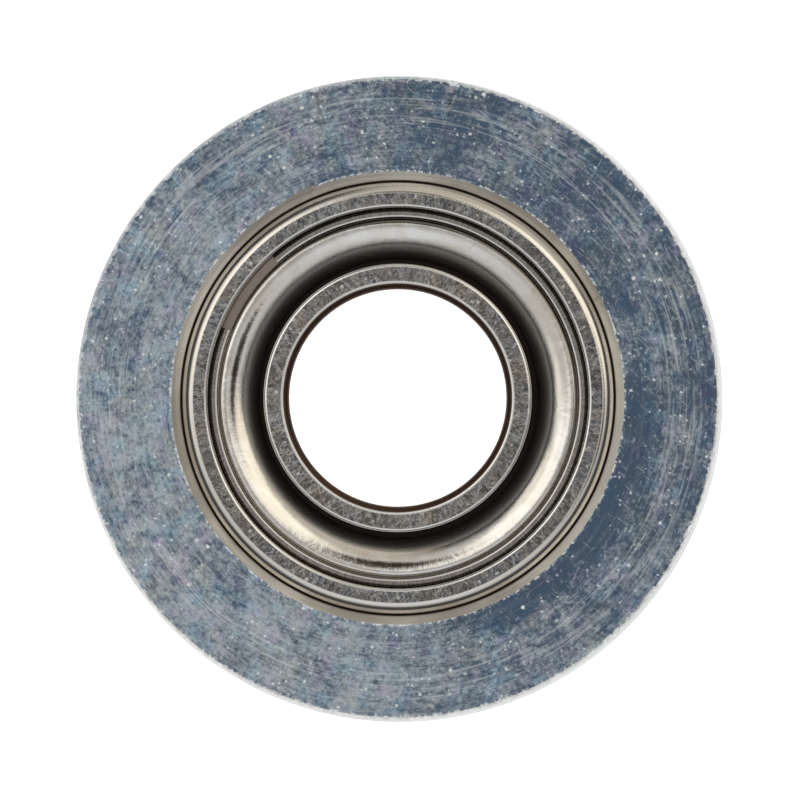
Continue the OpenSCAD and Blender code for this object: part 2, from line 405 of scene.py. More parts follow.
def ring_zone():
    """A band of a ring, between two radii and two depths below either face. Puts out a mask.

    Its sizes are in millimetres.
    """
    tree, start, end = group_with(
        "ring_zone", "ShaderNodeTree",
        [("Inner Radius", FLOAT, 4.0), ("Outer Radius", FLOAT, 5.0), ("Top Depth", FLOAT, -1.0),
         ("Bottom Depth", FLOAT, 9.0), ("Softness", FLOAT, 0.03)],
        [("Inside", FLOAT)],
    )
    sizes = start.outputs
    place = place_on(tree)
    in_mm = vectors(tree, "SCALE", place, scale=1 / MM)
    radius = vectors(tree, "LENGTH", level_of(tree, in_mm))
    height = node(tree, "ShaderNodeSeparateXYZ", {0: in_mm}).outputs[2]
    off_middle = maths(tree, "ABSOLUTE", maths(tree, "SUBTRACT", height, mid_z / MM))
    depth = maths(tree, "SUBTRACT", (front_z - mid_z) / MM, off_middle)
    inside = 1.0
    for value, low, high in ((radius, "Inner Radius", "Outer Radius"), (depth, "Top Depth", "Bottom Depth")):
        for gap in (maths(tree, "SUBTRACT", value, sizes[low]), maths(tree, "SUBTRACT", sizes[high], value)):
            reach = maths(tree, "ADD", maths(tree, "DIVIDE", gap, sizes["Softness"]), 0.5, clamp=True)
            inside = maths(tree, "MULTIPLY", inside, reach)
    tree.links.new(inside, end.inputs[0])
    return tree


SCRATCHES = crossed_scratches()
LINES = turning_lines()
ZONE = ring_zone()
CLOUDS = cloudiness()
FLECKS = flecks()


def effect(tree, group, **values):
    """One shared effect, placed with its own values."""
    made = node(tree, "ShaderNodeGroup", node_tree=group)
    for key, value in values.items():
        made.inputs[key].default_value = value
    return made.outputs[0]


def ring_band(tree, inner, outer, top=-1.0, bottom=9.0, softness=0.03):
    """A mask of the band between two radii and two depths below the face, in millimetres."""
    return effect(tree, ZONE, **{"Inner Radius": inner, "Outer Radius": outer, "Top Depth": top,
                                 "Bottom Depth": bottom, "Softness": softness})


def surface(name, metallic=1.0, **settings):
    """A new material with its Principled shader, ready for its nodes."""
    material = bpy.data.materials.new(name)
    material.use_nodes = True
    shader = material.node_tree.nodes["Principled BSDF"]
    shader.inputs["Metallic"].default_value = metallic
    for key, value in settings.items():
        shader.inputs[key.replace("_", " ")].default_value = value
    return material, material.node_tree, shader


def bumped(tree, shader, height, strength, distance):
    """Relief on a shader from a height between 0 and 1, which is that distance tall."""
    bump = node(tree, "ShaderNodeBump", {"Height": height, "Strength": strength, "Distance": distance})
    tree.links.new(bump.outputs[0], shader.inputs["Normal"])


# Finishes, each a colour and a roughness, and the open ends of a band that has no edge there.
POLISHED = ((0.88, 0.86, 0.82, 1), 0.13)
# Near black with a grease tint: painted shade deep in the gap between the inner ring and the shield, and
# under the shields.
GREASE_AND_GAP_SHADE = ((0.030, 0.022, 0.019, 1), 0.45)
# Dark heat scale on the inner ring's bore corners; on the outer ring's edge by the seat the same colour is
# painted shade in the gap.
SCALE_AND_GAP_SHADE = ((0.085, 0.053, 0.038, 1), 0.42)
TURNED = ((0.52, 0.48, 0.43, 1), 0.34)
ABOVE = -1
BEYOND = 9


def zoned(tree, shader, colour, rough, zones):
    """Colour and roughness that change in bands: each is (inner r, outer r, top, bottom, finish).

    The radii and the depths below the face are in millimetres, and a later band covers an earlier.
    """
    for inner_mm, outer_mm, top_mm, bottom_mm, (tint, gloss) in zones:
        inside = ring_band(tree, inner_mm, outer_mm, top_mm, bottom_mm)
        colour = mix(tree, inside, colour, tint)
        rough = maths(tree, "ADD", maths(tree, "MULTIPLY", rough, maths(tree, "SUBTRACT", 1.0, inside)),
                      maths(tree, "MULTIPLY", inside, gloss))
    tree.links.new(colour, shader.inputs["Base Color"])
    tree.links.new(rough, shader.inputs["Roughness"])


def ground_steel(name, fineness, slant, dark, light, zones, seed=0.0):
    """Bearing steel as ground: scratches that cross the face, stains, grit and finished bands."""
    material, tree, shader = surface(name)
    scratch = effect(tree, SCRATCHES, Fineness=fineness, Length=2600.0, Slant=slant, Seed=seed)
    broad = effect(tree, SCRATCHES, Fineness=fineness * 0.3, Length=900.0, Slant=slant, Seed=seed + 3.0)
    stain = effect(tree, CLOUDS, Size=1.1, Seed=seed + 3.0)
    grit = effect(tree, FLECKS, Spacing=0.3, Size=0.22, Share=0.5, Seed=seed + 2.0)
    crossing = effect(tree, SCRATCHES, Fineness=fineness * 0.22, Length=700.0, Slant=slant * 2.2,
                      Seed=seed + 8.0)
    off_line = maths(tree, "ABSOLUTE", maths(tree, "SUBTRACT", crossing, 0.56))
    hairs = maths(tree, "SUBTRACT", 1.0, maths(tree, "DIVIDE", off_line, 0.014), clamp=True)
    grain = effect(tree, CLOUDS, Size=0.13, Seed=seed + 5.0)
    fine = maths(tree, "ADD", maths(tree, "MULTIPLY", scratch, 0.42), maths(tree, "MULTIPLY", broad, 0.28))
    fine = maths(tree, "ADD", fine, maths(tree, "MULTIPLY", grain, 0.30))
    colour = mix(tree, smooth_step(tree, fine, 0.44, 0.63), dark, light)
    colour = mix(tree, maths(tree, "MULTIPLY", hairs, 0.5), colour, (0.92, 0.91, 0.88, 1))
    hue = smooth_step(tree, effect(tree, CLOUDS, Size=0.8, Seed=seed + 6.0), 0.40, 0.60)
    cast = mix(tree, hue, (0.95, 0.98, 1.04, 1), (1.05, 1.0, 0.93, 1))
    colour = mix(tree, 1.0, colour, cast, blend="MULTIPLY")
    dull = smooth_step(tree, stain, 0.45, 0.7, 0.0, 0.4)
    colour = mix(tree, dull, colour, (0.17, 0.135, 0.105, 1))
    colour = mix(tree, maths(tree, "MULTIPLY", grit, 0.55), colour, (0.9, 0.9, 0.88, 1))
    rough = smooth_step(tree, scratch, 0.4, 0.65, 0.24, 0.40)
    zoned(tree, shader, colour, rough, zones)
    bumped(tree, shader, scratch, 0.6, 0.007 * MM)
    return material


inner_land_r = bore_r + 0.95 * MM
bore_corner = 0.25 * MM
shoulder_rise = 0.25 * MM
race_r = 1.04 * MM
race_reach = 1.012 * MM
inner_step = 1.15 * MM
inner_shoulder_r = pitch_r - race_reach + shoulder_rise

within = 3.5
land_mm = inner_land_r / MM
corner_mm = (bore_r + bore_corner) / MM
bore_finish = ((0.95, 0.95, 0.94, 1), 0.10)
shadowed_wall = ((0.16, 0.15, 0.14, 1), 0.3)
INNER_STEEL = ground_steel(
    "ground_inner_ring", 70.0, 150.0, (0.085, 0.08, 0.075, 1), (0.43, 0.415, 0.395, 1),
    [
        (land_mm - 0.12, land_mm + 0.02, ABOVE, 0.1, POLISHED),
        (corner_mm - 0.05, corner_mm + 0.06, ABOVE, 0.1, POLISHED),
        (within, corner_mm - 0.025, ABOVE, 0.27, SCALE_AND_GAP_SHADE),
        (within, bore_r / MM + 0.04, 0.24, BEYOND, bore_finish),
        (land_mm - 0.02, BEYOND, 0.08, 0.5, shadowed_wall),
        # Painted shade: the inner ring's step and wall deep in the gap go near black, with a grease tint.
        (land_mm - 0.02, BEYOND, 0.45, BEYOND, GREASE_AND_GAP_SHADE),
    ],
)


def race(centre_r, low, high, steps=14):
    """Corners along a raceway groove: an arc about the ring's middle plane, from angle to angle."""
    angles = [math.radians(low + (high - low) * i / steps) for i in range(steps + 1)]
    return [(centre_r + race_r * math.cos(a), mid_z + race_r * math.sin(a), 0, 0, 0) for a in angles]


inner_groove_r = pitch_r - race_reach + race_r
half_race = math.degrees(math.acos((inner_groove_r - inner_shoulder_r) / race_r))
inner_corners = [
    (bore_r, back_z, bore_corner, 0, 0.004 * MM),
    (inner_land_r, back_z, 0.1 * MM, 0, 0.006 * MM),
    (inner_land_r, back_z + inner_step, 0.03 * MM, 0, 0),
    (inner_shoulder_r, back_z + inner_step, 0.05 * MM, 0, 0),
]
groove = race(inner_groove_r, 180 + half_race, 180 - half_race)
inner_outline = rounded(
    inner_corners + groove + [(r, 2 * mid_z - z, *rest) for r, z, *rest in reversed(inner_corners)]
)
inner_ring = turned("inner_ring_ground", inner_outline, INNER_STEEL, segments=900, seed=1.0)
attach(inner_ring, "stud_side")
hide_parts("inner_ring")

# ---- Balls ------------------------------------------------------------------------------------
# Ten lapped steel balls between the raceways. They keep a mirror finish under a film of grease.


def lapped_steel():
    """Mirror steel under streaks of grease."""
    material, tree, shader = surface("lapped_ball_steel")
    film = effect(tree, CLOUDS, Size=0.7, Seed=8.0)
    colour = mix(tree, smooth_step(tree, film, 0.4, 0.7), (0.66, 0.66, 0.67, 1), (0.52, 0.48, 0.40, 1))
    tree.links.new(colour, shader.inputs["Base Color"])
    tree.links.new(smooth_step(tree, film, 0.3, 0.7, 0.05, 0.16), shader.inputs["Roughness"])
    return material


LAPPED_STEEL = lapped_steel()
for name in frame["nodes"]:
    if name.startswith("ball_"):
        ball = bpy.data.objects[name]
        for slot in ball.material_slots:
            slot.material = LAPPED_STEEL

# ---- Cage -------------------------------------------------------------------------------------
# Two halves pressed from thin steel strip, with an arch over each ball, riveted between the balls.


def pressed_cage_steel():
    """Thin pressed strip, yellowed by grease, with rolling marks."""
    material, tree, shader = surface("pressed_cage_steel")
    rolled = effect(tree, LINES, Wander=14.0, Pitch=5000.0, Seed=4.0)
    film = effect(tree, CLOUDS, Size=1.1, Seed=5.0)
    colour = mix(tree, smooth_step(tree, film, 0.35, 0.7), (0.47, 0.43, 0.35, 1), (0.30, 0.26, 0.18, 1))
    tree.links.new(colour, shader.inputs["Base Color"])
    tree.links.new(smooth_step(tree, rolled, 0.3, 0.7, 0.3, 0.5), shader.inputs["Roughness"])
    bumped(tree, shader, rolled, 0.3, 0.004 * MM)
    return material


CAGE_STEEL = pressed_cage_steel()
for name in ("cage_front", "cage_rear", "cage_rivets"):
    for slot in bpy.data.objects[name].material_slots:
        slot.material = CAGE_STEEL

# ---- Outer ring -------------------------------------------------------------------------------
# The ring that turns: the same ground steel, with large polished outer corners and a recess at
# each end for a shield and its snap ring.

outer_shoulder_r = pitch_r + race_reach - shoulder_rise
recess_r = outer_shoulder_r + 0.26 * MM
recess_depth = 1.0 * MM
sheet = 0.15 * MM
snap_groove_r = recess_r + 0.12 * MM
snap_rim = 0.1 * MM
snap_fit = 0.02 * MM
snap_t = 0.3 * MM
snap_face_r = recess_r - 0.13 * MM
snap_r = snap_groove_r - snap_fit
snap_inner_r = snap_face_r - 0.21 * MM
flange_top = recess_depth - sheet
bevel_foot = flange_top - snap_rim - snap_fit
bevel_rise = (snap_groove_r - recess_r) * (snap_t - snap_rim) / (snap_r - snap_face_r)

outer_corners = [
    (outer_shoulder_r, back_z + recess_depth, 0.03 * MM, 0, 0),
    (recess_r, back_z + recess_depth, 0.02 * MM, 0, 0),
    (recess_r, back_z + flange_top, 0, 0, 0),
    (snap_groove_r, back_z + flange_top, 0.01 * MM, 0, 0),
    (snap_groove_r, back_z + bevel_foot, 0.01 * MM, 0, 0),
    (recess_r, back_z + bevel_foot - bevel_rise, 0.02 * MM, 0, 0),
    (recess_r, back_z, 0.1 * MM, 0, 0.006 * MM),
    (bearing_r, back_z, 0.47 * MM, 0, 0.004 * MM),
]
outer_groove_r = pitch_r + race_reach - race_r
groove = race(outer_groove_r, half_race, -half_race)
outer_outline = rounded(
    outer_corners + [(r, 2 * mid_z - z, *rest) for r, z, *rest in reversed(outer_corners)] + groove, steps=8
)
within = 5
rim_mm = bearing_r / MM
recess_mm = recess_r / MM
warm_polish = ((0.80, 0.76, 0.69, 1), 0.17)
OUTER_STEEL = ground_steel(
    "ground_outer_ring", 120.0, 70.0, (0.07, 0.07, 0.073, 1), (0.39, 0.385, 0.375, 1),
    [
        (rim_mm - 0.45, BEYOND, ABOVE, BEYOND, warm_polish),
        # Painted shade: the outer ring's edge where it goes into the aluminium seat is darkened, as the gap
        # between them.
        (rim_mm - 0.035, BEYOND, ABOVE, 0.5, SCALE_AND_GAP_SHADE),
        (recess_mm - 0.022, recess_mm + 0.118, ABOVE, 0.12, POLISHED),
        (within, recess_mm + 0.148, 0.11, BEYOND, TURNED),
    ],
    seed=7.0,
)
outer_ring = turned("outer_ring_ground", outer_outline, OUTER_STEEL, segments=1080, seed=2.0)
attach(outer_ring, "wheel")
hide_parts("outer_ring")

# ---- Shields ----------------------------------------------------------------------------------
# A disc pressed from thin sheet for each face. Its flange lies in the recess, and its polished
# crown rises nearly to the ring's face and falls away towards the inner ring.


def polished_sheet():
    """Bright pressed sheet with soft draw marks and a little dust, darker on one side of the bend."""
    darker_bend_side = (0.26, 0.97, 0.0)
    material, tree, shader = surface("polished_shield_sheet")
    drawn = effect(tree, CLOUDS, Size=0.9, Seed=6.0)
    peel = effect(tree, CLOUDS, Size=0.22, Seed=7.0)
    dust = effect(tree, FLECKS, Spacing=0.35, Size=0.14, Share=0.5, Seed=4.0)
    colour = mix(tree, smooth_step(tree, drawn, 0.35, 0.65), (0.75, 0.705, 0.63, 1), (0.84, 0.81, 0.76, 1))
    colour = mix(tree, maths(tree, "MULTIPLY", dust, 0.25), colour, (0.4, 0.4, 0.39, 1))
    place = place_on(tree)
    # The bend is made darker towards one side.
    side_on = vectors(tree, "DOT_PRODUCT", outward_of(tree, place), darker_bend_side)
    bend_darkening = smooth_step(tree, side_on, 0.1, 0.8, 0.0, 0.85)
    bend = ring_band(tree, 6.455, 6.7, softness=0.05)
    colour = mix(tree, maths(tree, "MULTIPLY", bend_darkening, bend), colour, (0.10, 0.085, 0.07, 1))
    rough = smooth_step(tree, drawn, 0.3, 0.7, 0.07, 0.12)
    dulled_lip = ((0.64, 0.61, 0.57, 1), 0.34)
    rough_flange_crease_shade = ((0.44, 0.385, 0.335, 1), 0.36)
    zones = [
        (within, 5.70, 0.3, BEYOND, dulled_lip),
        # Painted shade: the flange, where it shows in the crease between the upstand and the snap ring, is
        # darker; it is also rougher.
        (6.66, BEYOND, 0.3, BEYOND, rough_flange_crease_shade),
        # Painted shade under each shield, inside the bearing, with a grease tint.
        (within, 6.7, 0.88, BEYOND, GREASE_AND_GAP_SHADE),
    ]
    zoned(tree, shader, colour, rough, zones)
    height = maths(tree, "ADD", maths(tree, "MULTIPLY", drawn, 0.8), maths(tree, "MULTIPLY", peel, 0.2))
    bumped(tree, shader, height, 0.4, 0.03 * MM)
    return material


SHIELD_SHEET = polished_sheet()
shield_r = recess_r - 0.03 * MM
upstand_r = snap_inner_r - 0.04 * MM
bend_inside_r = 0.05 * MM
bend_r = bend_inside_r + sheet
crown_depth = 0.25 * MM
drop = 0.62 * MM
shield_top_r = upstand_r - bend_r
shield_edge_r = inner_land_r + 0.22 * MM
dome_span = shield_top_r - shield_edge_r
dome_r = (dome_span**2 + drop**2) / (2 * drop)
dome_angle = 2 * math.degrees(math.atan(drop / dome_span))
flange_root = 0.06 * MM
flange_root_middle = 0.018 * MM
flange_edge = 0.04 * MM


def sheet_arc(centre_depth, radius, first, last, steps):
    """Points on a shield's bend, as (radius, depth below the face)."""
    angles = [math.radians(first + (last - first) * i / steps) for i in range(steps + 1)]
    return [(shield_top_r + radius * math.cos(a), centre_depth - radius * math.sin(a)) for a in angles]


def shield_outline(face_z, way):
    """The closed section of a shield, at the face that looks along way."""
    bend_depth, dome_depth = crown_depth + bend_r, crown_depth + dome_r
    lip = 90 + dome_angle
    points = [(shield_r, recess_depth), (shield_r, flange_top), (upstand_r + flange_root, flange_top)]
    points += [(upstand_r + flange_root_middle, flange_top - flange_root_middle)]
    points += [(upstand_r, flange_top - flange_root)]
    points += sheet_arc(bend_depth, bend_r, 0, 90, 14)
    points += sheet_arc(dome_depth, dome_r, 90, lip, 26)[1:]
    points += sheet_arc(dome_depth, dome_r - sheet, lip, 90, 26)
    points += sheet_arc(bend_depth, bend_inside_r, 90, 0, 10)[1:]
    points += [(upstand_r - sheet, recess_depth - flange_edge)]
    points += [(upstand_r - sheet + flange_edge, recess_depth)]
    return [(r, face_z - way * depth, 0, 0) for r, depth in points]


FACES = (("front", front_z, 1), ("rear", back_z, -1))
for side, face_z, way in FACES:
    shield = turned(f"shield_{side}_pressed", shield_outline(face_z, way), SHIELD_SHEET)
    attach(shield, "wheel")
    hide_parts(f"shield_{side}")

# ---- Snap rings -------------------------------------------------------------------------------
# An open ring of flat spring steel over each shield's flange, sprung into the groove round the
# recess. Its face is brushed, and its two ends are cut off square.


def brushed_spring_steel():
    """Spring steel with a brushed face: darker than the rings, with the same fine scratches."""
    material, tree, shader = surface("brushed_spring_steel")
    scratch = effect(tree, SCRATCHES, Fineness=150.0, Length=3000.0, Slant=60.0, Seed=17.0)
    fine = smooth_step(tree, scratch, 0.44, 0.68)
    colour = mix(tree, fine, (0.20, 0.18, 0.16, 1), (0.38, 0.355, 0.33, 1))
    rough = smooth_step(tree, scratch, 0.3, 0.7, 0.22, 0.36)
    place = place_on(tree)
    along = vectors(tree, "NORMALIZE", vectors(tree, "CROSS_PRODUCT", (0.0, 0.0, 1.0), place))
    facing = node(tree, "ShaderNodeNewGeometry").outputs["Normal"]
    end_on = vectors(tree, "DOT_PRODUCT", along, facing)
    cut_end = smooth_step(tree, maths(tree, "ABSOLUTE", end_on), 0.3, 0.6)
    colour = mix(tree, cut_end, colour, POLISHED[0])
    zoned(tree, shader, colour, rough, [(6.6, 6.755, ABOVE, BEYOND, POLISHED)])
    bumped(tree, shader, scratch, 0.3, 0.003 * MM)
    return material


SPRING_STEEL = brushed_spring_steel()
# The gap between the two ends, and the azimuth of its middle, in degrees.
snap_gap = 26.5
snap_gap_middles = {"front": 144.75, "rear": 40.0}


def snap_outline(face_z, way):
    """The closed section of a snap ring, with its bevelled rim and rounded inner edge."""
    top = flange_top - snap_t
    corners = [
        (snap_inner_r, flange_top, 0.02 * MM),
        (snap_r, flange_top, 0.01 * MM),
        (snap_r, flange_top - snap_rim, 0.02 * MM),
        (snap_face_r, top, 0.02 * MM),
        (snap_inner_r, top, 0.035 * MM),
    ]
    return rounded([(r, face_z - way * depth, corner, 0, 0) for r, depth, corner in corners],
                   steps=5, guard=0.02 * MM)


for side, face_z, way in FACES:
    begin = snap_gap_middles[side] + snap_gap / 2
    snap = turned(f"snap_ring_{side}_sprung", snap_outline(face_z, way), SPRING_STEEL,
                  segments=700, span=(begin, 360 - snap_gap))
    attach(snap, "wheel")
    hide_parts(f"snap_ring_{side}")

# ---- Aluminium ring ---------------------------------------------------------------------------
# The tyre of the roller: turned from soft aluminium bar and pressed over the bearing. Its faces
# are covered in turning rings, handling scratches and dings, and the seat's edge carries a burr.


def hairlines():
    """Thin broken scratches that run nearly round the face. Puts out a mask."""
    tree, start, end = group_with(
        "hairlines", "ShaderNodeTree",
        [("Wander", FLOAT, 1.2), ("Pitch", FLOAT, 2600.0), ("Width", FLOAT, 0.03), ("Breaks", FLOAT, 9.0),
         ("Seed", FLOAT, 0.0)],
        [("Hairlines", FLOAT)],
    )
    sizes = start.outputs
    along = polar_place(tree, sizes["Wander"], sizes["Pitch"], sizes["Seed"])
    wave = node(tree, "ShaderNodeTexNoise", {"Vector": along, "Scale": 1.0, "Detail": 2.0}).outputs[0]
    off_line = maths(tree, "ABSOLUTE", maths(tree, "SUBTRACT", wave, 0.5))
    line = maths(tree, "SUBTRACT", 1.0, maths(tree, "DIVIDE", off_line, sizes["Width"]), clamp=True)
    pieces = polar_place(tree, sizes["Breaks"], maths(tree, "MULTIPLY", sizes["Pitch"], 1.3), sizes["Seed"])
    shown = node(tree, "ShaderNodeTexNoise", {"Vector": pieces, "Scale": 1.0, "Detail": 1.0}).outputs[0]
    tree.links.new(maths(tree, "MULTIPLY", line, smooth_step(tree, shown, 0.52, 0.62)), end.inputs[0])
    return tree


def stray_scratches():
    """Short straight scratches, all leaning one way, from handling. Puts out a mask."""
    tree, start, end = group_with(
        "stray_scratches", "ShaderNodeTree",
        [("Angle", FLOAT, 0.6), ("Length", FLOAT, 1.2), ("Width", FLOAT, 0.06), ("Share", FLOAT, 0.2)],
        [("Scratches", FLOAT)],
    )
    sizes = start.outputs
    place = place_on(tree)
    turned_place = node(tree, "ShaderNodeVectorRotate", {"Vector": place, "Angle": sizes["Angle"]},
                        rotation_type="Z_AXIS").outputs[0]
    scale = node(tree, "ShaderNodeCombineXYZ", {
        0: maths(tree, "DIVIDE", 1 / MM, sizes["Length"]),
        1: maths(tree, "DIVIDE", 1 / MM, sizes["Width"]), 2: 900.0}).outputs[0]
    stretched = vectors(tree, "MULTIPLY", turned_place, scale)
    noise = node(tree, "ShaderNodeTexNoise", {"Vector": stretched, "Scale": 1.0, "Detail": 1.0}).outputs[0]
    cut = maths(tree, "SUBTRACT", 0.82, maths(tree, "MULTIPLY", sizes["Share"], 0.5))
    mark = maths(tree, "DIVIDE", maths(tree, "SUBTRACT", noise, cut), 0.05, clamp=True)
    tree.links.new(mark, end.inputs[0])
    return tree


HAIRLINES = hairlines()
STRAY = stray_scratches()


def turned_aluminium():
    """Handled aluminium: dark blue-grey, clouded and tinted, covered in specks and scratches.

    Painted light makes it paler towards one side; it is darker by the seat on another, and its rim is darker
    on a third.
    """
    lit_side = (-0.82, -0.57, 0.0)
    dark_side = (0.77, -0.64, 0.0)
    darker_rim_side = (-0.50, 0.87, 0.0)
    material, tree, shader = surface("turned_aluminium")
    rings = effect(tree, LINES, Wander=2.2, Pitch=7000.0, Seed=21.0)
    across = effect(tree, SCRATCHES, Fineness=110.0, Length=2200.0, Slant=90.0, Seed=41.0)
    grain = effect(tree, CLOUDS, Size=0.15, Seed=14.0)
    strokes = effect(tree, LINES, Wander=42.0, Pitch=12000.0, Seed=24.0)
    mottle = effect(tree, CLOUDS, Size=0.62, Seed=15.0)
    clouds = effect(tree, CLOUDS, Size=3.2, Seed=12.0)
    tone = maths(tree, "MULTIPLY", grain, 0.19)
    for part, weight in ((strokes, 0.18), (mottle, 0.20), (clouds, 0.18), (across, 0.12), (rings, 0.13)):
        tone = maths(tree, "ADD", tone, maths(tree, "MULTIPLY", part, weight))

    place = place_on(tree)
    outward = outward_of(tree, place)
    # Painted light: the face is made a little paler towards the side the light comes from.
    painted_light_share = vectors(tree, "DOT_PRODUCT", outward, lit_side)
    tone = maths(tree, "ADD", tone, maths(tree, "MULTIPLY", painted_light_share, 0.03))

    shaded = smooth_step(tree, vectors(tree, "DOT_PRODUCT", outward, dark_side), 0.55, 0.97)
    by_seat = ring_band(tree, 8.2, 9.3, softness=0.7)
    darker = maths(tree, "MULTIPLY", maths(tree, "MULTIPLY", shaded, by_seat), 0.06)
    tone = maths(tree, "SUBTRACT", tone, darker)

    light = smooth_step(tree, tone, 0.435, 0.60)
    colour = mix(tree, light, (0.085, 0.125, 0.185, 1), (0.51, 0.575, 0.63, 1))
    tints = (
        (16.0, 0.7, (1.08, 0.90, 1.06)),
        (17.0, 1.0, (0.80, 1.02, 1.12)),
        (18.0, 1.2, (1.10, 1.04, 0.90)),
    )
    for seed, size, tint in tints:
        patch = smooth_step(tree, effect(tree, CLOUDS, Size=size, Seed=seed), 0.48, 0.66, 0.0, 0.7)
        colour = mix(tree, patch, colour, mix(tree, 1.0, colour, [*tint, 1], blend="MULTIPLY"))

    crowd = smooth_step(tree, mottle, 0.40, 0.60, 0.15, 1.0)
    dings = effect(tree, FLECKS, Spacing=0.45, Size=0.15, Share=0.7, Seed=1.0)
    specks = effect(tree, FLECKS, Spacing=0.19, Size=0.25, Share=0.5, Seed=5.0)
    pits = effect(tree, FLECKS, Spacing=0.25, Size=0.25, Share=0.5, Seed=9.0)
    lines = effect(tree, HAIRLINES, Wander=0.14, Pitch=6000.0, Width=0.10, Breaks=4.0, Seed=2.0)
    band = ring_band(tree, 10.0, 11.2, softness=0.4)
    lines = maths(tree, "MULTIPLY", lines, maths(tree, "ADD", maths(tree, "MULTIPLY", band, 0.85), 0.15))
    stray = effect(tree, STRAY, Angle=0.7, Length=0.8, Width=0.032, Share=0.2)
    stray_back = effect(tree, STRAY, Angle=-1.1, Length=0.55, Width=0.03, Share=0.2)
    colour = mix(tree, maths(tree, "MULTIPLY", pits, 0.35), colour, (0.04, 0.055, 0.09, 1))
    crowded = maths(tree, "MULTIPLY", maths(tree, "MULTIPLY", specks, crowd), 0.9)
    bright = maths(tree, "MAXIMUM", dings, crowded)
    for marks, weight in ((lines, 0.34), (stray, 0.6), (stray_back, 0.55)):
        bright = maths(tree, "MAXIMUM", bright, maths(tree, "MULTIPLY", marks, weight))
    burr = ring_band(tree, 8.33, 8.41, bottom=0.05, softness=0.04)
    chips = ring_band(tree, 11.70, 11.86, softness=0.05)
    torn = smooth_step(tree, grain, 0.47, 0.60)
    edges = maths(tree, "MULTIPLY", maths(tree, "MAXIMUM", burr, chips), torn)
    bright = maths(tree, "MAXIMUM", bright, edges)
    colour = mix(tree, bright, colour, (0.93, 0.96, 0.97, 1))

    facing = node(tree, "ShaderNodeSeparateXYZ", {0: node(tree, "ShaderNodeNewGeometry").outputs["Normal"]})
    steep = smooth_step(tree, maths(tree, "ABSOLUTE", facing.outputs[2]), 0.97, 0.88)
    seat = ring_band(tree, 7.0, 8.6, bottom=0.38, softness=0.02)
    cut = maths(tree, "MULTIPLY", steep, seat)
    rim = maths(tree, "MULTIPLY", steep, ring_band(tree, 11.4, 13.0))
    around = node(tree, "ShaderNodeTexNoise", {"Vector": outward, "Scale": 1.6, "Detail": 3.0}).outputs[0]
    shade = maths(tree, "ADD", maths(tree, "MULTIPLY", around, 0.75), maths(tree, "MULTIPLY", rings, 0.25))
    turned_seat = mix(tree, smooth_step(tree, shade, 0.40, 0.58), (0.60, 0.56, 0.51, 1), (1.0, 0.97, 0.90, 1))
    # Painted shade: a dark band at the root of the seat chamfer, in the crease against the bearing.
    seat_crease_shade = ring_band(tree, 7.9, 8.045)
    turned_seat = mix(tree, seat_crease_shade, turned_seat, (0.09, 0.065, 0.05, 1))
    colour = mix(tree, cut, colour, turned_seat)
    tread = ring_band(tree, 11.4, 13.0, top=0.1)
    # The rim is made darker towards one side.
    rim_darkening = smooth_step(tree, vectors(tree, "DOT_PRODUCT", outward, darker_rim_side), 0.1, 0.9, 0.0, 0.75)
    rim_light = mix(tree, rim_darkening, (0.86, 0.87, 0.86, 1), (0.42, 0.46, 0.50, 1))
    rim_light = mix(tree, tread, rim_light, (0.56, 0.58, 0.59, 1))
    scored = mix(tree, 0.25, rim_light, (0, 0, 0, 1))
    turned_rim = mix(tree, smooth_step(tree, strokes, 0.35, 0.60), scored, rim_light)
    colour = mix(tree, rim, colour, turned_rim)
    tree.links.new(colour, shader.inputs["Base Color"])
    bare_metal = maths(tree, "SUBTRACT", 1.0, maths(tree, "MULTIPLY", cut, 0.50))
    tree.links.new(bare_metal, shader.inputs["Metallic"])
    rough = smooth_step(tree, clouds, 0.3, 0.7, 0.30, 0.42)
    tree.links.new(rough, shader.inputs["Roughness"])
    height = maths(tree, "ADD", maths(tree, "MULTIPLY", rings, 0.4), maths(tree, "MULTIPLY", grain, 0.4))
    height = maths(tree, "SUBTRACT", height, maths(tree, "MULTIPLY", pits, 0.4))
    height = maths(tree, "ADD", height, maths(tree, "MULTIPLY", bright, 0.3))
    bumped(tree, shader, height, 0.5, 0.015 * MM)
    return material


TURNED_ALUMINIUM = turned_aluminium()
ring_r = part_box("roller_ring")[1].x
crown_drop = 0.15 * MM
rim_chamfer = 0.1 * MM
seat_chamfer = 0.35 * MM
rim_edge_r = ring_r - crown_drop
half_crown = mid_z - back_z - rim_chamfer
crown_steps = 14

# Extra rings near both edges keep each knock from creasing the whole face.
edge_band = 0.16 * MM
seat_corners = [
    (rim_edge_r - rim_chamfer, back_z, 0.02 * MM, 0.003 * MM, 0.006 * MM),
    (rim_edge_r - rim_chamfer - edge_band, back_z, 0, 0, 0),
    (bearing_r + seat_chamfer + edge_band, back_z, 0, 0, 0),
    (bearing_r + seat_chamfer, back_z, 0.02 * MM, 0.012 * MM, 0.005 * MM),
    (bearing_r, back_z + seat_chamfer, 0.02 * MM, 0, 0),
]
crown = []
for i in range(crown_steps + 1):
    t = 2 * i / crown_steps - 1
    edge = 0.02 * MM if i in (0, crown_steps) else 0
    wear = 0.008 * MM if i in (0, crown_steps) else 0.003 * MM
    crown.append((ring_r - crown_drop * t * t, mid_z + half_crown * t, edge, 0, wear))
ring_outline = rounded(
    crown + [(r, 2 * mid_z - z, *rest) for r, z, *rest in seat_corners] + seat_corners[::-1], steps=4
)
roller_ring = turned("roller_ring_turned", ring_outline, TURNED_ALUMINIUM, segments=1440,
                     path_r=(ring_r + bearing_r) / 2, seed=3.0, jag_fineness=26.0, nick_scale=1500.0)


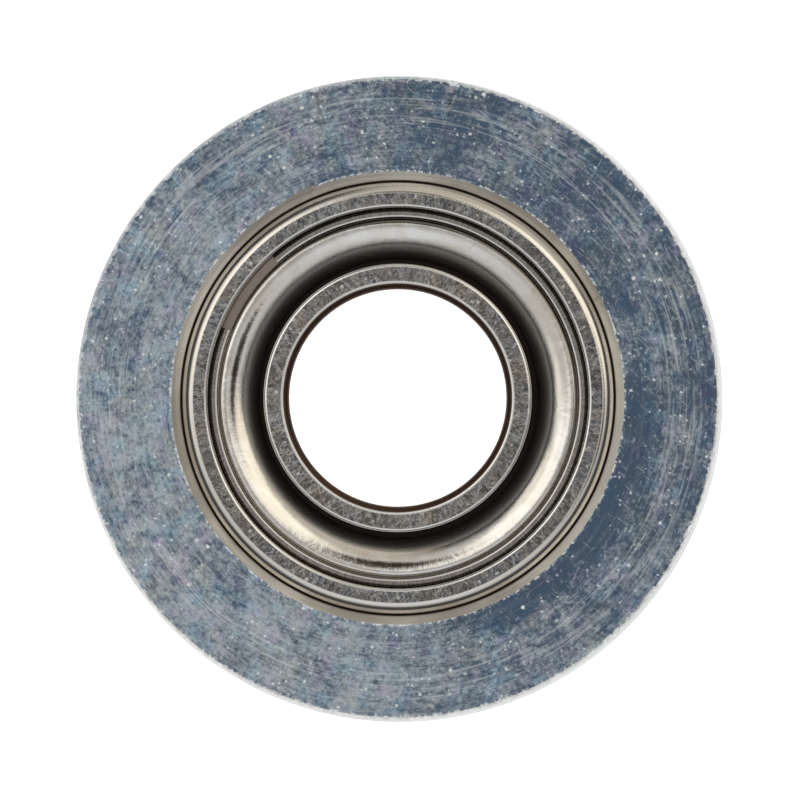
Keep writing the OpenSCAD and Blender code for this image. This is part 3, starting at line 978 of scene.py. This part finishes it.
def knock(piece, azimuth, half_width, radius, move_out, move_down):
    """Moves an edge of the front face where it was struck: outwards, and down, in millimetres."""
    edge_reach = 0.12 * MM
    edge_depth = 0.14 * MM
    for vertex in piece.data.vertices:
        r = math.hypot(vertex.co.x, vertex.co.y)
        if abs(r - radius) > edge_reach or vertex.co.z < front_z - edge_depth:
            continue
        off = math.degrees(math.atan2(vertex.co.y, vertex.co.x)) - azimuth
        off = abs((off + 180) % 360 - 180) / half_width
        if off < 1:
            share = (1 - off * off) ** 2
            vertex.co.x *= 1 + share * move_out * MM / r
            vertex.co.y *= 1 + share * move_out * MM / r
            vertex.co.z -= share * move_down * MM


seat_knocks = ((112.5, 1.6, 0.12), (114.5, 3.0, 0.09), (118.0, 4.0, 0.05), (26.0, 0.8, 0.05))
for azimuth, half_width, move_out in seat_knocks:
    knock(roller_ring, azimuth, half_width, bearing_r + seat_chamfer, move_out, 0.0)
rim_knocks = (
    (80, 1.0, 0.10), (105, 0.9, 0.09), (118, 0.8, 0.05), (136, 1.2, 0.07),
    (140, 0.6, 0.05), (143, 0.7, 0.05), (148, 0.9, 0.06), (152, 0.7, 0.05),
    (176, 0.7, 0.04), (311, 0.9, 0.05), (330, 0.6, 0.04), (336, 0.6, 0.04),
)
for azimuth, half_width, depth in rim_knocks:
    knock(roller_ring, azimuth, half_width, rim_edge_r - rim_chamfer, -depth, 0.5 * depth)
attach(roller_ring, "wheel")
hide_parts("roller_ring")

# ---- Floor, light and camera ------------------------------------------------------------------
# The roller lies on a plain white light table under a soft tent. The camera looks down through
# the dimmer middle of the tent's top, a little off the roller's axis.


def table_white():
    """Plain white table that glows a little, as one lit from below does."""
    material, tree, shader = surface("table_white", metallic=0.0, Roughness=0.6)
    shader.inputs["Base Color"].default_value = (0.9, 0.9, 0.9, 1)
    shader.inputs["Emission Color"].default_value = (1, 1, 1, 1)
    shader.inputs["Emission Strength"].default_value = 0.9
    return material


floor_half = 2.0
floor_z = back_z - 0.01 * MM
floor_mesh = bpy.data.meshes.new("floor")
floor_mesh.from_pydata(
    [(x * floor_half, y * floor_half, floor_z) for x, y in ((-1, -1), (1, -1), (1, 1), (-1, 1))],
    [], [(0, 1, 2, 3)],
)
floor_mesh.materials.append(table_white())
floor = bpy.data.objects.new("floor", floor_mesh)
bpy.context.scene.collection.objects.link(floor)


def toward(tilt, azimuth):
    """The direction that leans from straight up by a tilt, towards an azimuth, in degrees."""
    t, a = math.radians(tilt), math.radians(azimuth)
    return (math.sin(t) * math.cos(a), math.sin(t) * math.sin(a), math.cos(t))


def tent():
    """A soft tent round the table: a grey top, a dark belt, bright low walls, and odd panels.

    Each panel is (lean, azimuth, half width, soft edge, strength, tint), with angles in degrees.
    """
    world = bpy.data.worlds.new("tent")
    bpy.context.scene.world = world
    world.use_nodes = True
    tree = world.node_tree
    shade = tree.nodes["Background"]
    way = node(tree, "ShaderNodeTexCoord").outputs["Generated"]
    up = node(tree, "ShaderNodeSeparateXYZ", {0: way}).outputs[2]
    tilt = maths(tree, "DEGREES", maths(tree, "ARCCOSINE", up))
    glow = smooth_step(tree, tilt, 2.0, 14.0, 0.42, 0.60)
    glow = maths(tree, "MULTIPLY", glow, smooth_step(tree, tilt, 34.0, 54.0, 1.0, 0.10))
    glow = maths(tree, "ADD", glow, smooth_step(tree, tilt, 78.0, 89.0, 0.0, 0.8))
    colour = mix(tree, glow, (0, 0, 0, 1), (1.0, 1.0, 1.0, 1))
    panels = (
        (60, 68, 30, 9, 0.55, (1.0, 0.94, 0.84)),
        (35, 180, 8, 6, 0.98, (1.0, 1.0, 0.96)),
        (22, 266, 12, 6, 0.78, (0.94, 0.98, 1.04)),
        (22, 350, 8, 3, 0.03, (1.0, 0.8, 0.6)),
        (11, 92, 3.5, 2.5, 0.04, (1.0, 0.8, 0.6)),
        (20, 92, 7, 3, 0.04, (1.0, 0.8, 0.6)),
        (38, 24, 13, 6, 1.15, (1.0, 0.95, 0.84)),
        (30, 46, 11, 6, 1.30, (1.0, 0.96, 0.85)),
        (17, 45, 6, 4, 1.30, (1.0, 0.97, 0.88)),
        (9, 45, 4, 3, 1.15, (1.0, 0.98, 0.92)),
        (11, 142, 6, 4, 1.30, (1.0, 0.99, 0.96)),
        (26, 145, 12, 5, 1.30, (1.0, 0.99, 0.96)),
        (38, 147, 9, 5, 0.95, (1.0, 0.97, 0.90)),
    )
    for lean, azimuth, half, soft, strength, tint in panels:
        near = vectors(tree, "DOT_PRODUCT", way, toward(lean, azimuth))
        angle = maths(tree, "DEGREES", maths(tree, "ARCCOSINE", near))
        inside = smooth_step(tree, angle, half + soft, half - soft)
        panel = [strength * c for c in tint] + [1]
        colour = mix(tree, inside, colour, panel)
    seen = node(tree, "ShaderNodeLightPath").outputs["Is Camera Ray"]
    colour = mix(tree, seen, colour, (0.93, 0.93, 0.93, 1))
    tree.links.new(colour, shade.inputs["Color"])
    shade.inputs["Strength"].default_value = 1.0


tent()

camera_height = 0.264
view_width = 29.46593 * MM
camera_lean = 1.97
camera_azimuth = -30.0
aim = Vector((0.09 * MM, -0.08 * MM, front_z))
camera_data = bpy.data.cameras.new("camera")
camera_data.sensor_width = 36.0
camera_data.lens = camera_data.sensor_width * camera_height / view_width
camera_data.clip_start = 0.01
camera_data.clip_end = 10.0
camera = bpy.data.objects.new("camera", camera_data)
bpy.context.scene.collection.objects.link(camera)
camera.location = aim + Vector(toward(camera_lean, camera_azimuth)) * camera_height
camera_back = (camera.location - aim).normalized()
camera_right = Vector((0, 1, 0)).cross(camera_back).normalized()
camera_up = camera_back.cross(camera_right)
camera.rotation_euler = Matrix((camera_right, camera_up, camera_back)).transposed().to_euler()
bpy.context.scene.camera = camera
bpy.context.scene.view_settings.view_transform = "Standard"
